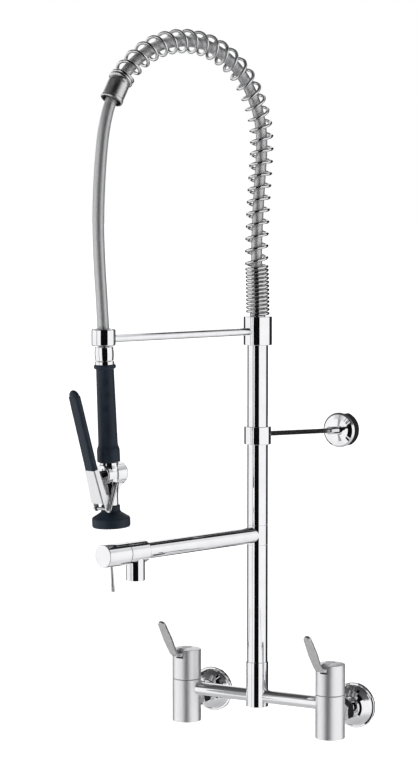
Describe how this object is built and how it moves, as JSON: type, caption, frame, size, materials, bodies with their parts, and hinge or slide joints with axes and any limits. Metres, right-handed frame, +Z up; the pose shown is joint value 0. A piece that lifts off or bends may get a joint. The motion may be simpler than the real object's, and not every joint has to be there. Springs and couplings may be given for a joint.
{
  "type": "pre rinse faucet",
  "caption": "Wall-mounted pre-rinse faucet: bridge mixer with lever valves, riser, swing spout with its own outlet valve, spring-carried hose and squeeze-lever spray gun.",
  "frame": {"origin": "on the finished wall plane, midway between the axes of the hot and cold inlets", "axes": "+X from the hot valve to the cold valve (to the right when facing the wall), +Y into the wall, +Z up along the riser"},
  "size_m": [0.284, 0.5789, 0.9365],
  "materials": {
    "polished_chrome": "polished",
    "satin_chrome": "satin",
    "stainless_steel": "bright",
    "raw_brass": "machined",
    "index_disc": "satin",
    "black_rubber": "semi-gloss",
    "nylon_liner": "matte",
    "hose_sheath": "satin over braid"
  },
  "bodies": {
    "root": {"bridge_tee": "polished_chrome", "bridge_tubes": "polished_chrome", "valve_cartridges": "raw_brass", "inlet_unions": "polished_chrome", "escutcheons": "polished_chrome", "lower_riser": "polished_chrome", "upper_riser": "polished_chrome", "riser_core": "stainless_steel", "spout_o_rings": "black_rubber", "riser_head": "polished_chrome", "stay_collar": "polished_chrome", "collar_screw": "stainless_steel", "stay_rod": "stainless_steel", "gland_nuts": "polished_chrome", "union_nuts": "polished_chrome", "union_seals": "black_rubber", "hot_valve_body": "polished_chrome", "cold_valve_body": "polished_chrome"},
    "rosette": {"wall_rosette": "polished_chrome", "rosette_screw": "stainless_steel"},
    "hot_handle": {"hot_spindle": "raw_brass", "hot_cap": "polished_chrome", "hot_index_disc": "index_disc", "hot_lever": "satin_chrome"},
    "cold_handle": {"cold_spindle": "raw_brass", "cold_cap": "polished_chrome", "cold_index_disc": "index_disc", "cold_lever": "satin_chrome"},
    "spout": {"spout_collar": "polished_chrome", "spout_tube": "polished_chrome", "outlet_valve_body": "polished_chrome", "outlet_nozzle": "polished_chrome", "aerator": "stainless_steel", "outlet_cartridge": "raw_brass"},
    "spout_knob": {"outlet_knob": "polished_chrome", "knob_spindle": "raw_brass", "knob_lever": "stainless_steel"},
    "arm": {"arm_collar": "polished_chrome", "arm_rod": "polished_chrome", "guide_ring": "polished_chrome", "ring_liner": "nylon_liner", "hose_tail": "stainless_steel", "hose_end": "stainless_steel", "hose": "hose_sheath", "hose_spring": "stainless_steel", "spring_ferrule": "satin_chrome"},
    "spray": {"swivel_nut": "polished_chrome", "lock_ring": "polished_chrome", "gun_tube": "stainless_steel", "spray_grip": "black_rubber", "spray_body": "polished_chrome", "spray_bonnet": "polished_chrome", "stem_spring": "stainless_steel", "lever_bail": "stainless_steel", "rose_shell": "raw_brass", "spray_face": "stainless_steel", "rose_bumper": "black_rubber"},
    "squeeze_lever": {"spray_lever": "satin_chrome", "lever_grip": "black_rubber"},
    "stem": {"spray_stem": "stainless_steel"}
  },
  "joints": [
    {"name": "hot_valve_turn", "type": "hinge", "parent": "root", "child": "hot_handle", "pos_m": [-0.111, -0.074, 0.048], "axis": [0, 0, 1], "range_deg": [-90, 0]},
    {"name": "cold_valve_turn", "type": "hinge", "parent": "root", "child": "cold_handle", "pos_m": [0.111, -0.074, 0.048], "axis": [0, 0, 1], "range_deg": [0, 90]},
    {"name": "spout_swing", "type": "hinge", "parent": "root", "child": "spout", "pos_m": [0, -0.074, 0.2352], "axis": [0, 0, 1], "range_deg": [-75.5, 104.5]},
    {"name": "spout_knob_turn", "type": "hinge", "parent": "spout", "child": "spout_knob", "pos_m": [-0.06159, -0.31216, 0.2352], "axis": [-0.2504, -0.9681, 0], "range_deg": [0, 90]},
    {"name": "arm_swing", "type": "hinge", "parent": "root", "child": "arm", "pos_m": [0, -0.074, 0.51], "axis": [0, 0, 1], "range_deg": [-75, 105]},
    {"name": "spray_swivel", "type": "hinge", "parent": "arm", "child": "spray", "pos_m": [-0.07429, -0.34189, 0.512], "axis": [-0.0135, -0.0488, 0.9987], "continuous": true},
    {"name": "spray_lever_squeeze", "type": "hinge", "parent": "spray", "child": "squeeze_lever", "pos_m": [-0.07515, -0.34499, 0.29496], "axis": [-0.9636, 0.2672, 0], "range_deg": [0, 8.5], "stiffness_Nm_per_rad": 2, "springref_deg": -5.73},
    {"name": "stem_slide", "type": "slide", "parent": "spray", "child": "stem", "axis": [0.2669, 0.9624, 0.0506], "range_m": [0, 0.0068], "deforming": ["stem_spring"]},
    {"name": "rosette_slide", "type": "slide", "parent": "root", "child": "rosette", "axis": [0, 0.9982, -0.0593], "range_m": [-0.18, 0]}
  ],
  "couplings": [
    {"joint": "stem_slide", "follows": "spray_lever_squeeze", "m_per_rad": 0.0455}
  ]
}
